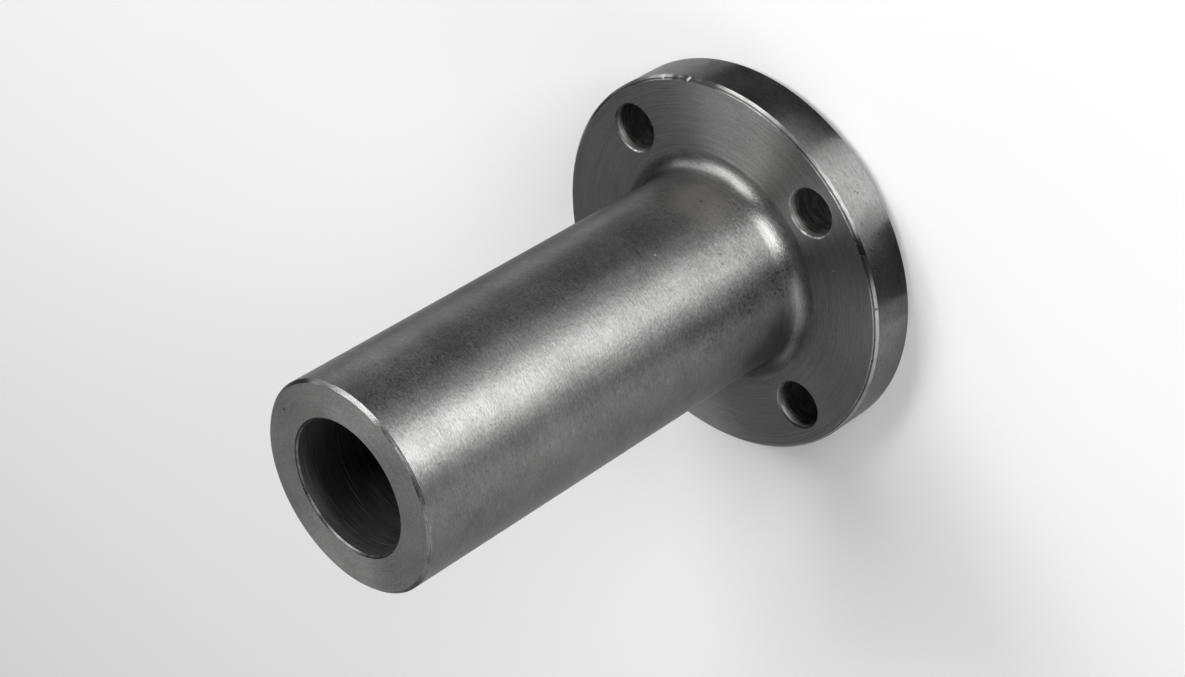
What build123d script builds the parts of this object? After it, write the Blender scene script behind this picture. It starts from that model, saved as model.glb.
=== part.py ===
from build123d import *
import os

# Long weld neck flange, turned and drilled from one forging.
# Millimetres. It stands on its gasket face: the origin is the centre of that face,
# and +Z runs along the bore to the end of the neck that is welded on.

# The bore, straight through
bore_diameter = 50.8
bore_mouth_chamfer = 0.85

# The long neck, from the gasket face to the end that is welded on
overall_length = 207.4
neck_diameter = 79.8
neck_end_chamfer = 1.2
root_fillet_radius = 8.0

# The raised face behind the disc, which presses on the gasket
gasket_face_diameter = 92.1
gasket_face_height = 1.6

# The bolt holes, which straddle the X and Y axes
bolt_hole_count = 4
bolt_hole_diameter = 19.05
bolt_hole_edge_break = 0.5

# The bolted disc, with flat metal on each side of the bolt holes
disc_thickness = 20.0
metal_inside_holes = 4.75
metal_outside_holes = 6.35
rim_chamfer = 1.6
fillet_to_hole_land = 1.0

bore_radius = bore_diameter / 2
neck_radius = neck_diameter / 2
gasket_face_radius = gasket_face_diameter / 2
bolt_hole_radius = bolt_hole_diameter / 2

# The holes stand clear of the gasket face, which gives the 120.65 bolt circle,
# and the rim stands clear of the holes, which gives the 152.4 outside diameter
bolt_circle_radius = gasket_face_radius + metal_inside_holes + bolt_hole_radius
flange_radius = bolt_circle_radius + bolt_hole_radius + metal_outside_holes

# Heights of the disc's two faces: nuts bear on the front, and the mating flange faces the back
disc_back = gasket_face_height
disc_front = disc_back + disc_thickness

# The root fillet ends on flat metal, short of the edges of the bolt holes
nearest_hole_edge = bolt_circle_radius - bolt_hole_radius - bolt_hole_edge_break
room_for_fillet = nearest_hole_edge - fillet_to_hole_land - neck_radius
root_fillet = min(root_fillet_radius, room_for_fillet)

os.makedirs("parts", exist_ok=True)

with BuildPart() as weld_neck_flange:
    # Half of the section, with X as the radius and Y as the height along the bore
    with BuildSketch(Plane.XZ) as section:
        with BuildLine():
            Polyline(
                (bore_radius, 0),
                (gasket_face_radius, 0),
                (gasket_face_radius, disc_back),
                (flange_radius, disc_back),
                (flange_radius, disc_front),
                (neck_radius, disc_front),
                (neck_radius, overall_length),
                (bore_radius, overall_length),
                close=True,
            )
        make_face()

        # A turned radius joins the neck to the disc
        root = section.vertices().sort_by_distance((neck_radius, disc_front))[0]
        fillet(root, radius=root_fillet)

        # Each sharp corner is broken on the lathe
        rim_back = section.vertices().sort_by_distance((flange_radius, disc_back))[0]
        rim_front = section.vertices().sort_by_distance((flange_radius, disc_front))[0]
        chamfer((rim_back, rim_front), length=rim_chamfer)
        neck_end = section.vertices().sort_by_distance((neck_radius, overall_length))[0]
        chamfer(neck_end, length=neck_end_chamfer)
        bore_start = section.vertices().sort_by_distance((bore_radius, 0))[0]
        bore_mouth = section.vertices().sort_by_distance((bore_radius, overall_length))[0]
        chamfer((bore_start, bore_mouth), length=bore_mouth_chamfer)
    revolve(axis=Axis.Z)

    # The bolt holes are drilled through the disc and their edges broken on both faces
    with Locations(Plane.XY.offset(disc_front)):
        with PolarLocations(bolt_circle_radius, bolt_hole_count, start_angle=180 / bolt_hole_count):
            Hole(bolt_hole_radius)
    hole_edges = weld_neck_flange.edges(Select.LAST).filter_by(GeomType.CIRCLE)
    chamfer(hole_edges, length=bolt_hole_edge_break)

weld_neck_flange.part.label = "weld_neck_flange"
export_step(weld_neck_flange.part, "parts/weld_neck_flange.step")
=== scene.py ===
import math

import bpy
from mathutils import Matrix, Vector


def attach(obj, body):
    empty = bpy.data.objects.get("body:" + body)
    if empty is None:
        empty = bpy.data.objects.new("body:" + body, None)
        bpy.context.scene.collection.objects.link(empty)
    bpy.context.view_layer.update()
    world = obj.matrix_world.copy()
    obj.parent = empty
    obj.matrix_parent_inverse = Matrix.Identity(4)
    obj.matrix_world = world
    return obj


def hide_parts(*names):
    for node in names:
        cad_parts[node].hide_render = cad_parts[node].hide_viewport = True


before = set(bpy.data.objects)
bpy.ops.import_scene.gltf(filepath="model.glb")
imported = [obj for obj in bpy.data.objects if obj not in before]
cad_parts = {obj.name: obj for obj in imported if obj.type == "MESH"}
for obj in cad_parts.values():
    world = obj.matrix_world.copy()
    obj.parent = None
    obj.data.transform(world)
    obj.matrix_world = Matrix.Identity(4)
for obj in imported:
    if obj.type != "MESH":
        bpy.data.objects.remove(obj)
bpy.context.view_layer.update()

# The camera, as the photograph was taken: it looks down on the flange from the side of
# one bolt hole, and it is rolled so that the neck points to the lower left.
# Its place, its aim and its roll come from fitting the flange's circles to the photograph.
image_width = 1185
focal_length_in_pixels = 2537.3
sensor_width = 36.0
nearest_seen = 0.01
farthest_seen = 50
camera_place = Vector((0.52789, -0.50935, 0.63238))
camera_aim = Vector((0.00048, 0.00050, 0.08839))
camera_roll = math.radians(121.023)

view_line = (camera_aim - camera_place).normalized()
level_right = view_line.cross(Vector((0, 0, 1))).normalized()
level_up = level_right.cross(view_line)
camera_up = math.cos(camera_roll) * level_up + math.sin(camera_roll) * level_right
camera_right = view_line.cross(camera_up)

bpy.ops.object.camera_add()
camera = bpy.context.object
camera.name = "camera"
camera.matrix_world = Matrix(
    (
        (camera_right.x, camera_up.x, -view_line.x, camera_place.x),
        (camera_right.y, camera_up.y, -view_line.y, camera_place.y),
        (camera_right.z, camera_up.z, -view_line.z, camera_place.z),
        (0, 0, 0, 1),
    )
)
camera.data.sensor_fit = "HORIZONTAL"
camera.data.sensor_width = sensor_width
camera.data.lens = focal_length_in_pixels / image_width * sensor_width
camera.data.clip_start = nearest_seen
camera.data.clip_end = farthest_seen
bpy.context.scene.camera = camera
bpy.context.scene.view_settings.view_transform = "Standard"

# The flange is one steel forging, turned all over in a lathe. Half of its section is drawn, its
# corners are rounded or chamfered as the tool leaves them, and its outline is spun round the
# bore. Sizes are in metres.
bore_radius = 0.0254
neck_radius = 0.0399
gasket_face_radius = 0.04605
flange_radius = 0.0762
disc_back = 0.0016
disc_front = 0.0216
overall_length = 0.2074
root_fillet_radius = 0.008
rim_chamfer = 0.0016
neck_end_chamfer = 0.0012
bore_mouth_chamfer = 0.00085
root_fillet_steps = 28
steps_round = 288
starting_square = 0.001
same_place = 0.00001
seam_gap = 0.000002
smooth_up_to = math.radians(20)


def select_vertices(mesh_object, wanted):
    """Selects, in edit mode, only the vertices whose place passes the test."""
    bpy.ops.mesh.select_all(action="DESELECT")
    bpy.ops.object.mode_set(mode="OBJECT")
    for vertex in mesh_object.data.vertices:
        vertex.select = wanted(vertex.co)
    bpy.ops.object.mode_set(mode="EDIT")


def near(place):
    """A test for vertices at a place, to a hundredth of a millimetre."""
    return lambda co: (co - Vector(place)).length < same_place


section_corners = [
    (bore_radius, 0, 0),
    (gasket_face_radius, 0, 0),
    (gasket_face_radius, 0, disc_back),
    (flange_radius, 0, disc_back),
    (flange_radius, 0, disc_front),
    (neck_radius, 0, disc_front),
    (neck_radius, 0, overall_length),
    (bore_radius, 0, overall_length),
]

# A tiny square shrinks to the first corner, and the outline grows from there
bpy.ops.object.select_all(action="DESELECT")
bpy.ops.mesh.primitive_plane_add(size=starting_square, location=section_corners[0])
flange = bpy.context.object
flange.name = "turned_flange"
bpy.ops.object.transform_apply(location=True, rotation=True, scale=True)
bpy.ops.object.mode_set(mode="EDIT")
bpy.ops.mesh.select_mode(type="VERT")
bpy.ops.mesh.select_all(action="SELECT")
bpy.ops.mesh.merge(type="CENTER")
for last_corner, corner in zip(section_corners, section_corners[1:]):
    step = Vector(corner) - Vector(last_corner)
    bpy.ops.mesh.extrude_vertices_move(TRANSFORM_OT_translate={"value": step})
bpy.ops.mesh.select_all(action="SELECT")
bpy.ops.mesh.edge_face_add()

# The tool's nose radius rounds the root, and each sharp corner is broken on the lathe
for corner, size, segments in (
    ((neck_radius, 0, disc_front), root_fillet_radius, root_fillet_steps),
    ((flange_radius, 0, disc_front), rim_chamfer, 1),
    ((flange_radius, 0, disc_back), rim_chamfer, 1),
    ((neck_radius, 0, overall_length), neck_end_chamfer, 1),
    ((bore_radius, 0, overall_length), bore_mouth_chamfer, 1),
    ((bore_radius, 0, 0), bore_mouth_chamfer, 1),
):
    select_vertices(flange, near(corner))
    bpy.ops.mesh.bevel(affect="VERTICES", offset=size, segments=segments, profile=0.5)

# Only the outline is spun, so the section's own face goes first
bpy.ops.mesh.select_all(action="SELECT")
bpy.ops.mesh.delete(type="ONLY_FACE")
bpy.ops.mesh.select_all(action="SELECT")
bpy.ops.mesh.spin(steps=steps_round, angle=math.tau, center=(0, 0, 0), axis=(0, 0, 1))
bpy.ops.mesh.select_all(action="SELECT")
bpy.ops.mesh.remove_doubles(threshold=seam_gap)
bpy.ops.mesh.normals_make_consistent(inside=False)
bpy.ops.object.mode_set(mode="OBJECT")

# The four bolt holes are drilled through the disc, and their edges are broken with a
# countersink on both faces. One cutter has the drill's shape and both flares, and it is
# copied round the bore.
bolt_circle_radius = 0.060325
bolt_hole_radius = 0.009525
bolt_hole_edge_break = 0.0005
bolt_hole_count = 4
first_hole_turn = math.pi / bolt_hole_count
steps_round_hole = 96
flare = 0.0015

drill_bottom = disc_back + bolt_hole_edge_break
drill_top = disc_front - bolt_hole_edge_break
hole_centre = Vector((bolt_circle_radius, 0, 0))
hole_centre.rotate(Matrix.Rotation(first_hole_turn, 3, "Z"))

bpy.ops.object.select_all(action="DESELECT")
bpy.ops.mesh.primitive_cylinder_add(
    vertices=steps_round_hole,
    radius=bolt_hole_radius,
    depth=drill_top - drill_bottom,
    location=(hole_centre.x, hole_centre.y, (drill_top + drill_bottom) / 2),
)
cutter = bpy.context.object
cutter.name = "bolt_hole_cutter"
bpy.ops.object.transform_apply(location=True, rotation=True, scale=True)
bpy.ops.object.mode_set(mode="EDIT")
for cap_height, outwards in ((drill_top, 1), (drill_bottom, -1)):
    select_vertices(cutter, lambda co: abs(co.z - cap_height) < same_place)
    step = (0, 0, outwards * flare)
    bpy.ops.mesh.extrude_region_move(TRANSFORM_OT_translate={"value": step})
    wider = (bolt_hole_radius + flare) / bolt_hole_radius
    mouth_centre = (hole_centre.x, hole_centre.y, cap_height + outwards * flare)
    bpy.ops.transform.resize(value=(wider, wider, 1), center_override=mouth_centre)
bpy.ops.object.mode_set(mode="OBJECT")

cutters = [cutter]
for turn in range(1, bolt_hole_count):
    copied = cutter.copy()
    copied.data = cutter.data.copy()
    copied.data.transform(Matrix.Rotation(turn * math.tau / bolt_hole_count, 4, "Z"))
    bpy.context.scene.collection.objects.link(copied)
    cutters.append(copied)

bpy.ops.object.select_all(action="DESELECT")
bpy.context.view_layer.objects.active = flange
flange.select_set(True)
for drill in cutters:
    drilling = flange.modifiers.new("drilling", "BOOLEAN")
    drilling.operation = "DIFFERENCE"
    drilling.solver = "EXACT"
    drilling.object = drill
    bpy.ops.object.modifier_apply(modifier=drilling.name)
    bpy.data.objects.remove(drill)

# The lathe leaves smooth rounds and sharp edges. The largest faces set the normals, so that
# a broken edge doesn't bend the light on the flat metal beside it.
bpy.ops.object.shade_smooth_by_angle(angle=smooth_up_to)
flat_first = flange.modifiers.new("flat first", "WEIGHTED_NORMAL")
flat_first.keep_sharp = True
bpy.ops.object.modifier_apply(modifier=flat_first.name)

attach(flange, "root")
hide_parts("weld_neck_flange")

# The finishes are all of one bare steel, cut in different ways: the outside and the disc's two
# faces are turned, the weld end is faced, the bore is bored and the bolt holes are drilled.
# Each pattern follows its tool, and the places and sizes in it are in millimetres.
millimetres_in_a_metre = 1000


class Reading:
    """A number or a place, read at each point of the metal. Sums on it add nodes."""

    def __init__(self, tree, socket=None):
        self.tree = tree
        self.socket = socket

    def node(self, kind, settings=None, values=None, output=0):
        """Adds any node: its settings come first, then its sockets, by name or number."""
        made = self.tree.nodes.new(kind)
        for name, setting in (settings or {}).items():
            setattr(made, name, setting)
        for name, value in (values or {}).items():
            if isinstance(value, Reading):
                self.tree.links.new(value.socket, made.inputs[name])
            else:
                made.inputs[name].default_value = value
        return Reading(self.tree, made.outputs[output])

    def maths(self, operation, first, second):
        return self.node("ShaderNodeMath", {"operation": operation}, {0: first, 1: second})

    def __add__(self, other):
        return self.maths("ADD", self, other)

    def __radd__(self, other):
        return self.maths("ADD", other, self)

    def __sub__(self, other):
        return self.maths("SUBTRACT", self, other)

    def __rsub__(self, other):
        return self.maths("SUBTRACT", other, self)

    def __mul__(self, other):
        return self.maths("MULTIPLY", self, other)

    def __rmul__(self, other):
        return self.maths("MULTIPLY", other, self)

    def __truediv__(self, other):
        return self.maths("DIVIDE", self, other)

    def __rtruediv__(self, other):
        return self.maths("DIVIDE", other, self)

    def __pow__(self, other):
        return self.maths("POWER", self, other)

    def __rpow__(self, other):
        return self.maths("POWER", other, self)

    def part(self, axis):
        return self.node("ShaderNodeSeparateXYZ", {}, {0: self}, axis)

    def reach(self):
        """How far this place is from the middle of the bore."""
        across = self.part("X")
        along = self.part("Y")
        return (across * across + along * along) ** 0.5

    def waves(self, pitch):
        """Even waves between -1 and 1, this far apart."""
        turns = self * (math.tau / pitch)
        return self.maths("SINE", turns, 0)

    def swing(self, amount):
        """A pattern's rise and fall about its middle, made this strong."""
        return (self - 0.5) * amount

    def rise(self, start, end):
        """0 up to start, 1 from end on, and a soft step between them."""
        limits = {"Value": self, "From Min": start, "From Max": end}
        return self.node("ShaderNodeMapRange", {"interpolation_type": "SMOOTHSTEP"}, limits)

    def band(self, start, full, fading, end):
        """1 from full to fading, with a soft step up before it and down after it."""
        return self.rise(start, full) * (1 - self.rise(fading, end))

    def spot(self, centre, size):
        """1 round a place in millimetres, fading to 0 at this distance from it."""
        ends = {0: self, 1: centre}
        away = self.node("ShaderNodeVectorMath", {"operation": "DISTANCE"}, ends, "Value")
        full_size = 0.3 * size
        return 1 - away.rise(full_size, size)

    def patches(self, *spots):
        """Spots laid together, each with its place, its size and its strength."""
        together = 0
        for centre, size, strength in spots:
            together = together + self.spot(centre, size) * strength
        return together

    def colours(self, first, second):
        """A colour between two, where 0 is the first and 1 is the second."""
        ends = {0: self, 6: (*first, 1), 7: (*second, 1)}
        return self.node("ShaderNodeMix", {"data_type": "RGBA", "clamp_factor": True}, ends, 2)

    def blend_to(self, amount, colour):
        """This colour, with another over it by an amount from 0 to 1."""
        ends = {0: amount, 6: self, 7: (*colour, 1)}
        return self.node("ShaderNodeMix", {"data_type": "RGBA", "clamp_factor": True}, ends, 2)


def grain(place, size, detail=2.0):
    """Specks that run no way in particular, about this size in millimetres."""
    settings = {"Vector": place, "Scale": 1 / size, "Detail": detail}
    return place.node("ShaderNodeTexNoise", {}, settings)


def tool_lines(place, length, width, detail=2.0):
    """Lines round the bore, as the tool leaves them, of this length and width in millimetres."""
    feed = place.reach() - place.part("Z")
    stretched = {0: place.part("X") / length, 1: place.part("Y") / length, 2: feed / width}
    along_the_tool = place.node("ShaderNodeCombineXYZ", {}, stretched)
    settings = {"Vector": along_the_tool, "Scale": 1.0, "Detail": detail}
    return place.node("ShaderNodeTexNoise", {}, settings)


def new_material(name, settings):
    """A material whose shader has these settings, the same everywhere."""
    material = bpy.data.materials.new(name)
    material.use_nodes = True
    for socket, value in settings.items():
        material.node_tree.nodes["Principled BSDF"].inputs[socket].default_value = value
    return material


def new_steel(name, anisotropy, edge_tint=0.8):
    """A bare metal, with the place of each of its points in millimetres. The edge tint is how
    much of the light that only grazes the metal it throws back."""
    settings = {
        "Metallic": 1,
        "Anisotropic": anisotropy,
        "Anisotropic Rotation": 0.25,
        "Specular Tint": (edge_tint, edge_tint, edge_tint, 1),
    }
    material = new_material(name, settings)
    start = Reading(material.node_tree)
    place = start.node("ShaderNodeTexCoord", output="Object")
    to_millimetres = {0: place, "Scale": millimetres_in_a_metre}
    place = start.node("ShaderNodeVectorMath", {"operation": "SCALE"}, to_millimetres)
    return material, place


def finish_steel(material, colour, roughness, height):
    """Feeds the shader. The height of the marks is in millimetres."""
    relief = {"Strength": 1.0, "Distance": 1 / millimetres_in_a_metre, "Height": height}
    bump = height.node("ShaderNodeBump", {}, relief)
    shader = material.node_tree.nodes["Principled BSDF"]
    for reading, socket in ((colour, "Base Color"), (roughness, "Roughness"), (bump, "Normal")):
        material.node_tree.links.new(reading.socket, shader.inputs[socket])


# The neck and the root are turned with the coarser feed. They have rubbed patches by the root,
# darker patches low on the neck by the root that are painted shade, a brownish stain with a
# little rust in it, scattered pits and one bright nick.
turned_shades = ((0.1, 0.1, 0.099), (0.235, 0.235, 0.232))
light_scratched = (0.42, 0.42, 0.415)
scratch_and_shade_dark = (0.05, 0.05, 0.049)
deep_grey = (0.04, 0.04, 0.039)
pit_and_shade_dark = (0.03, 0.03, 0.029)
bright_worn = (0.7, 0.7, 0.69)
stained = (0.28, 0.272, 0.243)
rusty = (0.09, 0.06, 0.035)


def turned_pattern(place):
    """The marks of the turning tool, and the tone that they make with cloudy patches."""
    fine_grain = tool_lines(place, 1.2, 0.55, 3)
    clouds = grain(place, 22, 3)
    mottling = grain(place, 6, 3)
    fine_lines = tool_lines(place, 5, 0.45, 1)
    tone = 0.5 + fine_grain.swing(1.1) + clouds.swing(0.9) + fine_lines.swing(0.55)
    tone = tone + mottling.swing(0.45)
    return fine_grain, clouds, fine_lines, tone


turned, place = new_steel("turned steel", 0.75)
reach = place.reach()
in_root = reach.band(40, 42, 46, 48)
painted_shade_at_root_start = reach.band(39.95, 40.3, 41.2, 42)
fine_grain, clouds, fine_lines, tone = turned_pattern(place)
light_scratches = tool_lines(place, 6, 0.35, 1).rise(0.68, 0.76)
dark_scratches = tool_lines(place, 2.5, 0.4, 1).rise(0.68, 0.78)
cells = place.node("ShaderNodeTexVoronoi", {}, {"Vector": place, "Scale": 0.35}, "Distance")
pits = (1 - cells.rise(0.06, 0.14)) * clouds.rise(0.5, 0.6)
rubbed = place.patches(
    ((15.7, -36.7, 30), 10, 1),
    ((15, -37, 49), 13, 0.8),
    ((12, -38, 70), 15, 0.5),
    ((29.9, -26.5, 50), 6, 0.8),
)
specks = grain(place, 1.3, 4).rise(0.48, 0.66) * rubbed
# Two darker patches low on the neck by the root: painted shade
painted_shade_by_root = place.patches(((-13.6, -38, 34), 20, 1), ((-1, -39.9, 33), 9, 0.5))
stain = place.spot((39.5, -5.5, 38.8), 17)
rust = grain(place, 1.6, 2).rise(0.62, 0.7) * place.spot((38.8, -9.5, 38.9), 8)
bright_nick = place.spot((36.8, -15.4, 73.7), 0.6)
colour = tone.colours(*turned_shades)
# The start of the root, next to the neck, is darkened here: painted shade
colour = colour.blend_to(painted_shade_at_root_start * 0.45, scratch_and_shade_dark)
colour = colour.blend_to(stain * 0.7, stained)
colour = colour.blend_to(rust * 0.7, rusty)
colour = colour.blend_to(light_scratches * 0.3, light_scratched)
colour = colour.blend_to(dark_scratches * 0.35, scratch_and_shade_dark)
colour = colour.blend_to(specks * 0.65, deep_grey)
colour = colour.blend_to(painted_shade_by_root * 0.4, pit_and_shade_dark)
colour = colour.blend_to(pits * 0.5, pit_and_shade_dark)
colour = colour.blend_to(bright_nick * 0.4, bright_worn)
roughness = 0.42 + fine_grain.swing(0.22) + clouds.swing(0.08) - in_root * 0.1
height = fine_grain * 0.075 + fine_lines * 0.008 - pits * 0.03
finish_steel(turned, colour, roughness, height)

# The disc's rim is turned with a finer feed, so it shines in a narrower band. Two small pits
# lie side by side on it.
rim, place = new_steel("turned rim", 0.9)
fine_grain, clouds, fine_lines, tone = turned_pattern(place)
light_scratches = tool_lines(place, 6, 0.35, 1).rise(0.68, 0.76)
pits = place.patches(((52.2, -55.5, 11.6), 0.8, 1), ((53, -54.7, 12.4), 0.6, 1))
colour = tone.colours(*turned_shades)
colour = colour.blend_to(light_scratches * 0.3, light_scratched)
colour = colour.blend_to(pits * 0.5, pit_and_shade_dark)
roughness = 0.3 + fine_grain.swing(0.12) + clouds.swing(0.08)
height = fine_grain * 0.03 + fine_lines * 0.008 - pits * 0.03
finish_steel(rim, colour, roughness, height)

# The disc's two faces are turned with the tool going in towards the neck, which leaves rings
# that run right round. The front one has a dark mark and a bright nick.
knocked_dark = (0.02, 0.02, 0.02)
feed_pitch = 1.3

disc_face, place = new_steel("disc face", 0.93, 0.45)
fine_grain = grain(place, 0.8, 3)
clouds = grain(place, 30, 2)
rings = tool_lines(place, 80, 0.8)
feed_marks = place.reach().waves(feed_pitch) * rings
fine_lines = tool_lines(place, 8, 0.45, 1)
mark = place.spot((46.8, 33.4, 21.6), 0.9)
bright_nick = place.spot((23.4, -54.6, 21.6), 0.6)
tone = 0.5 + fine_grain.swing(0.9) + clouds.swing(0.7)
tone = tone + rings.swing(0.5) + feed_marks * 0.06 + fine_lines.swing(0.5)
colour = tone.colours((0.13, 0.13, 0.129), (0.3, 0.3, 0.297))
colour = colour.blend_to(mark * 0.7, knocked_dark)
colour = colour.blend_to(bright_nick * 0.45, bright_worn)
roughness = 0.43 + fine_grain.swing(0.24) + clouds.swing(0.08)
height = fine_grain * 0.06 + rings * 0.02 + feed_marks * 0.035 + fine_lines * 0.006
finish_steel(disc_face, colour, roughness, height)

# The weld end is faced with a rounded tool, so it is paler and smoother to the eye. It has
# one small dark mark.
faced, place = new_steel("weld end", 0.5, 0.45)
fine_grain = grain(place, 0.7, 3)
clouds = grain(place, 14, 2)
fine_lines = tool_lines(place, 30, 0.5)
mark = place.spot((17.2, 30.1, 207.4), 0.8)
tone = 0.5 + fine_grain.swing(1.4) + clouds.swing(0.8) + fine_lines.swing(0.6)
colour = tone.colours((0.24, 0.24, 0.238), (0.44, 0.44, 0.435))
colour = colour.blend_to(mark * 0.8, (0.03, 0.03, 0.03))
roughness = 0.52 + fine_grain.swing(0.2) + clouds.swing(0.08)
height = fine_grain * 0.03 + fine_lines * 0.006
finish_steel(faced, colour, roughness, height)

# The broken edges are cut last and rubbed bright in handling. On the disc's front edge the outer
# band is painted lighter, a painted highlight, with a thin painted dark line inside it, as a
# second cut would catch the light. A thin painted dark line also runs round the bore's mouth.
# The edges have darker stretches and a few nicks from knocks.
edge, place = new_steel("broken edge", 0.8)
reach = place.reach()
wear = tool_lines(place, 4, 0.4, 3)
fine_grain = grain(place, 0.7, 2)
chipped = grain(place, 2.0, 3).rise(0.4, 0.52)
# A thin painted dark line and a lighter outer band, a painted highlight, on the disc's front edge,
# and a painted dark line round the bore's mouth
painted_dark_line = reach.band(74.85, 74.95, 75.3, 75.4)
painted_highlight_band = reach.rise(75.3, 75.4)
painted_dark_mouth_line = reach.band(25.85, 26.0, 26.6, 27)
bore_mouth = 1 - reach.rise(26.5, 27)
on_hole = reach.band(48, 49, 72, 73)
# Darker stretches along the edges
darker_stretches = place.patches(
    ((33.6, -67.5, 20.8), 13, 0.85),
    ((67.8, -33, 21), 10, 0.5),
    ((33.3, 21.9, 206.3), 9, 0.6),
    ((62, 43, 21), 9, 0.5),
    ((74.3, 12.5, 21), 12, 0.9),
    ((71.6, -23.6, 21), 9, 0.6),
    ((75.2, 4.5, 21), 8, 0.5),
    ((72.4, 21, 21), 7, 0.4),
)
rough_knocks = place.patches(((37.5, -65.5, 20.9), 6.5, 1), ((13.7, -37.5, 206.5), 3.5, 0.6))
clean_knocks = place.patches(
    ((71.4, 23.9, 20.9), 2.4, 1),
    ((15.6, -74.1, 20.5), 0.8, 1),
    ((-6.5, -74.8, 21.1), 0.8, 1),
)
scraped = place.spot((-24, -7, 207), 4.5) * wear.rise(0.42, 0.52)
knocks = rough_knocks * chipped + clean_knocks + scraped
bright_nicks = place.patches(((69.2, 29.7, 20.9), 2.4, 1), ((73.3, 17.1, 20.9), 1.5, 1))
bright_nicks = bright_nicks * chipped
tone = 0.4 + wear.swing(1.6) + fine_grain.swing(0.6) + painted_highlight_band * 0.4
tone = tone - bore_mouth * 0.1 - on_hole * 0.1
colour = tone.colours((0.09, 0.09, 0.089), (0.4, 0.4, 0.395))
colour = colour.blend_to((painted_dark_line + painted_dark_mouth_line) * 0.75, pit_and_shade_dark)
colour = colour.blend_to(darker_stretches * (0.8 + wear * 0.4), deep_grey)
colour = colour.blend_to(knocks * 0.75, knocked_dark)
colour = colour.blend_to(bright_nicks * 0.6, bright_worn)
roughness = 0.36 + wear.swing(0.2) + bore_mouth * 0.1
height = wear * 0.02 + fine_grain * 0.02 - knocks * 0.04
finish_steel(edge, colour, roughness, height)

# The bore is bored right through. Its colour is dark all through, painted shade inside the long
# bore, with rings and a few light scratches that the boring bar left.
bored, place = new_steel("bored steel", 0.2)
clouds = grain(place, 10, 2)
fine_lines = tool_lines(place, 18, 0.5)
scratches = tool_lines(place, 26, 0.4, 1).rise(0.68, 0.73)
tone = 0.28 + clouds.swing(0.6) + fine_lines.swing(1.3)
# The dark colours are painted shade inside the long bore
colour = tone.colours((0.045, 0.045, 0.045), (0.125, 0.125, 0.123))
colour = colour.blend_to(scratches * 0.4, (0.4, 0.4, 0.395))
roughness = 0.78 + clouds.swing(0.1)
height = fine_lines * 0.02
finish_steel(bored, colour, roughness, height)

# The bolt holes show the rings of the drill and smears where the chips rubbed. A band at the
# front is painted lighter, a painted highlight where light reaches into the hole, with painted
# bright streaks and a thin painted dark line in it.
smears_by_millimetre = (0.22, 0.22, 0.5)
rings_by_millimetre = 1.6

drilled, place = new_steel("drilled steel", 0.0)
depth = disc_front * millimetres_in_a_metre - place.part("Z")
longer_down_the_hole = {0: place, 1: smears_by_millimetre}
smear_place = place.node(
    "ShaderNodeVectorMath", {"operation": "MULTIPLY"}, longer_down_the_hole
)
smears = grain(smear_place, 1.0, 3)
down_the_hole = {"W": depth, "Scale": rings_by_millimetre, "Detail": 3.0}
rings = place.node("ShaderNodeTexNoise", {"noise_dimensions": "1D"}, down_the_hole)
# Near the mouth the wall is painted lighter, a painted highlight, with painted bright streaks and
# a painted dark line
painted_light_near_mouth = 1 - depth.rise(0.8, 2.8)
painted_shade_line_near_mouth = depth.band(0.5, 0.6, 0.75, 0.9)
painted_highlight_streaks = depth.band(0.8, 1.1, 1.6, 3.4) * rings.rise(0.38, 0.5)
tone = 0.13 + smears.swing(1.4) + rings.swing(0.9 + painted_light_near_mouth * 2.4) + painted_light_near_mouth * 0.42
colour = tone.colours((0.1, 0.1, 0.099), (0.42, 0.415, 0.4))
colour = colour.blend_to(painted_highlight_streaks * 0.85, (0.75, 0.745, 0.73))
colour = colour.blend_to(painted_shade_line_near_mouth * 0.5, knocked_dark)
roughness = 0.58 + smears.swing(0.25) - painted_highlight_streaks * 0.15
height = rings * 0.04 + smears * 0.04
finish_steel(drilled, colour, roughness, height)

# The gasket face is turned with a pointed tool. The fine grooves that it leaves run right
# round and grip the gasket.
groove_pitch = 0.8

serrated, place = new_steel("serrated gasket face", 0.7)
grooves = place.reach().waves(groove_pitch)
clouds = grain(place, 12, 2)
tone = 0.5 + clouds.swing(0.6) + grooves * 0.15
colour = tone.colours((0.13, 0.13, 0.129), (0.27, 0.27, 0.266))
roughness = 0.45 + clouds.swing(0.1)
height = grooves * 0.025
finish_steel(serrated, colour, roughness, height)

# Each face of the mesh takes the finish of the place where it lies
finishes = [turned, rim, disc_face, faced, edge, bored, drilled, serrated]
for material in finishes:
    flange.data.materials.append(material)


def finish_at(face):
    """Which finish the metal has where this face of the mesh lies."""
    centre = face.center
    from_bore = math.hypot(centre.x, centre.y)
    from_hole = math.hypot(abs(centre.x) - hole_centre.x, abs(centre.y) - hole_centre.y)
    tilt = abs(face.normal.z)
    upright = tilt < 0.3
    level = tilt > 0.999
    on_rim = from_bore > flange_radius - rim_chamfer
    if from_hole < bolt_hole_radius + bolt_hole_edge_break and not level:
        return drilled if upright else edge
    if from_bore < bore_radius + bore_mouth_chamfer:
        return bored if upright else edge
    if centre.z > overall_length - neck_end_chamfer:
        return faced if level else edge
    if centre.z < same_place:
        return serrated
    if level and from_bore > gasket_face_radius:
        return disc_face
    if on_rim:
        return rim if upright else edge
    return turned


for face in flange.data.polygons:
    face.material_index = finishes.index(finish_at(face))

# The floor is one wide round of plain pale card. It is only staging, and the flange stands
# on it.
floor_radius = 8
floor_corners = 96
pale = (0.93, 0.93, 0.93, 1)

bpy.ops.object.select_all(action="DESELECT")
bpy.ops.mesh.primitive_circle_add(
    radius=floor_radius, vertices=floor_corners, fill_type="NGON"
)
floor = bpy.context.object
floor.name = "floor"
floor.data.materials.append(new_material("pale card", {"Base Color": pale, "Roughness": 0.9}))

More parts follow.
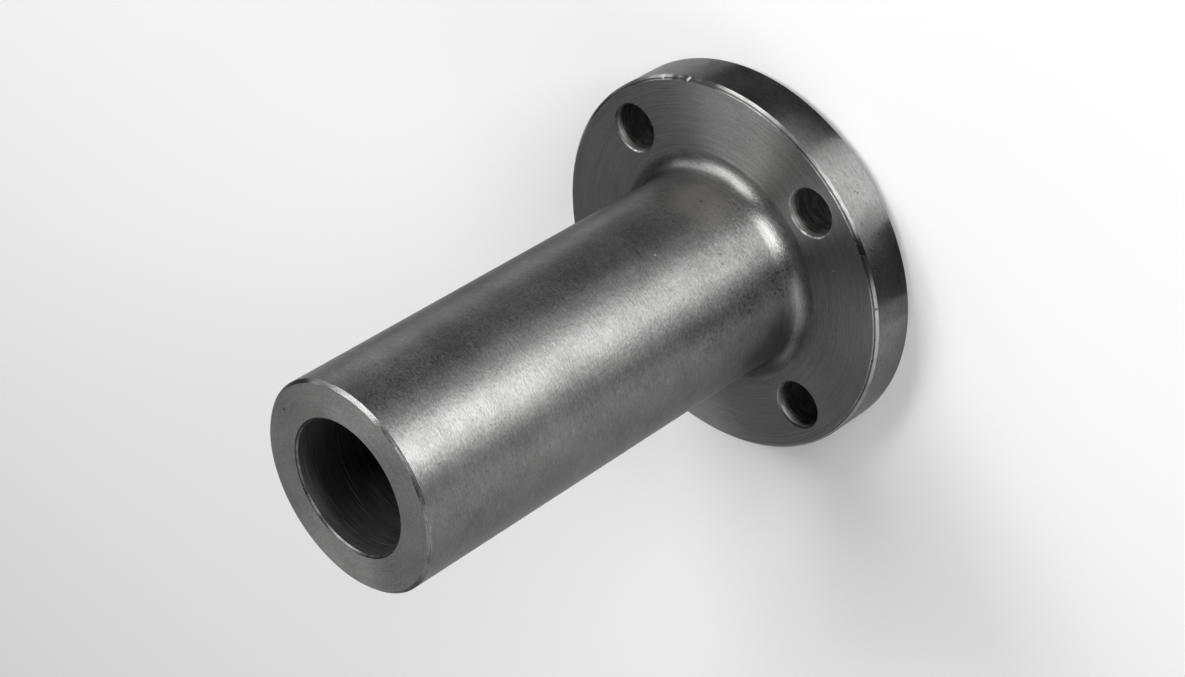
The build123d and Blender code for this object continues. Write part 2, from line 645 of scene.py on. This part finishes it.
# The light is a plain soft studio's: a dim grey room, and nine soft boxes round the flange.
# Each box has an azimuth from the camera's side and an elevation in degrees, then its width
# and height in metres and its power in watts.
room_grey = (0.13, 0.13, 0.13, 1)
camera_side = math.atan2(camera_place.y, camera_place.x)
soft_box_distance = 2.0
lit_middle = Vector((0, 0, 0.08))

world = bpy.data.worlds.new("grey room")
world.use_nodes = True
world.node_tree.nodes["Background"].inputs["Color"].default_value = room_grey
bpy.context.scene.world = world


def beside(azimuth, away):
    """Across and along, for a place this far away at an azimuth from the camera's side."""
    around = camera_side + math.radians(azimuth)
    return away * math.cos(around), away * math.sin(around)


def soft_box(name, azimuth, elevation, width, height, power):
    """A soft box that faces the flange and doesn't show in the picture."""
    up = math.radians(elevation)
    across, along = beside(azimuth, math.cos(up))
    away = Vector((across, along, math.sin(up)))
    lamp = bpy.data.lights.new(name, "AREA")
    lamp.shape = "RECTANGLE"
    lamp.size = width
    lamp.size_y = height
    lamp.energy = power
    box = bpy.data.objects.new(name, lamp)
    box.location = lit_middle + away * soft_box_distance
    box.rotation_mode = "QUATERNION"
    box.rotation_quaternion = away.to_track_quat("Z", "Y")
    box.visible_camera = False
    bpy.context.scene.collection.objects.link(box)


soft_box("low soft box", 0, 5, 1.2, 0.48, 74)
soft_box("small side soft box", 56, 40, 0.5, 0.5, 5.6)
soft_box("high side soft box", 73, 52, 1.0, 0.6, 12.8)
soft_box("side soft box", 90, 40, 0.8, 0.6, 8.2)
soft_box("low side soft box", 100, 15, 1.6, 0.5, 7.7)
soft_box("low far side soft box", -60, 12, 1.0, 0.5, 4.2)
soft_box("far side soft box", -79, 29, 1.8, 1.6, 9.3)
soft_box("far back soft box", -122, 18, 0.8, 0.6, 1.5)
soft_box("back soft box", 180, 42, 1.4, 1.2, 2.3)

# Four dark cards lie on the floor beside the flange, with two grey ones to soften their ends.
# They show only in the metal, as its dark sides. Each corner has a distance from the bore in
# metres and an azimuth from the camera's side in degrees.
card_height = 0.001
dark_shade = (0.05, 0.05, 0.05, 1)
soft_shade = (0.5, 0.5, 0.5, 1)
black = new_material("black card", {"Base Color": dark_shade, "Specular IOR Level": 0})
grey = new_material("grey card", {"Base Color": soft_shade, "Specular IOR Level": 0})


def lay_card(name, material, *corners):
    """A card just above the floor that only the metal sees."""
    bpy.ops.object.select_all(action="DESELECT")
    bpy.ops.mesh.primitive_circle_add(vertices=len(corners), fill_type="NGON")
    dark_card = bpy.context.object
    dark_card.name = name
    for vertex, (away, azimuth) in zip(dark_card.data.vertices, corners):
        vertex.co = (*beside(azimuth, away), card_height)
    dark_card.data.materials.append(material)
    dark_card.visible_camera = False
    dark_card.visible_diffuse = False
    dark_card.visible_shadow = False


lay_card(
    "left_dark_card",
    black,
    (0.078, 12),
    (0.09, 17),
    (0.1, 30),
    (0.13, 40),
    (1.0, 47),
    (1.0, 98),
    (0.13, 92),
    (0.1, 70),
    (0.078, 54),
)
lay_card(
    "right_dark_card", black, (0.078, -36), (0.12, -47), (0.12, -30), (0.09, -17), (0.078, -13)
)
lay_card("right_dark_strip", black, (0.123, -36), (0.33, -38), (0.33, -50), (0.123, -44))
lay_card("back_dark_strip", black, (0.1, 112), (0.36, 124), (0.36, 144), (0.1, 121))
lay_card(
    "left_soft_edge", grey, (0.078, 54), (0.1, 70), (0.13, 92), (0.13, 100), (0.1, 78), (0.078, 62)
)
lay_card("right_soft_edge", grey, (0.078, -36), (0.12, -47), (0.12, -55), (0.078, -43))
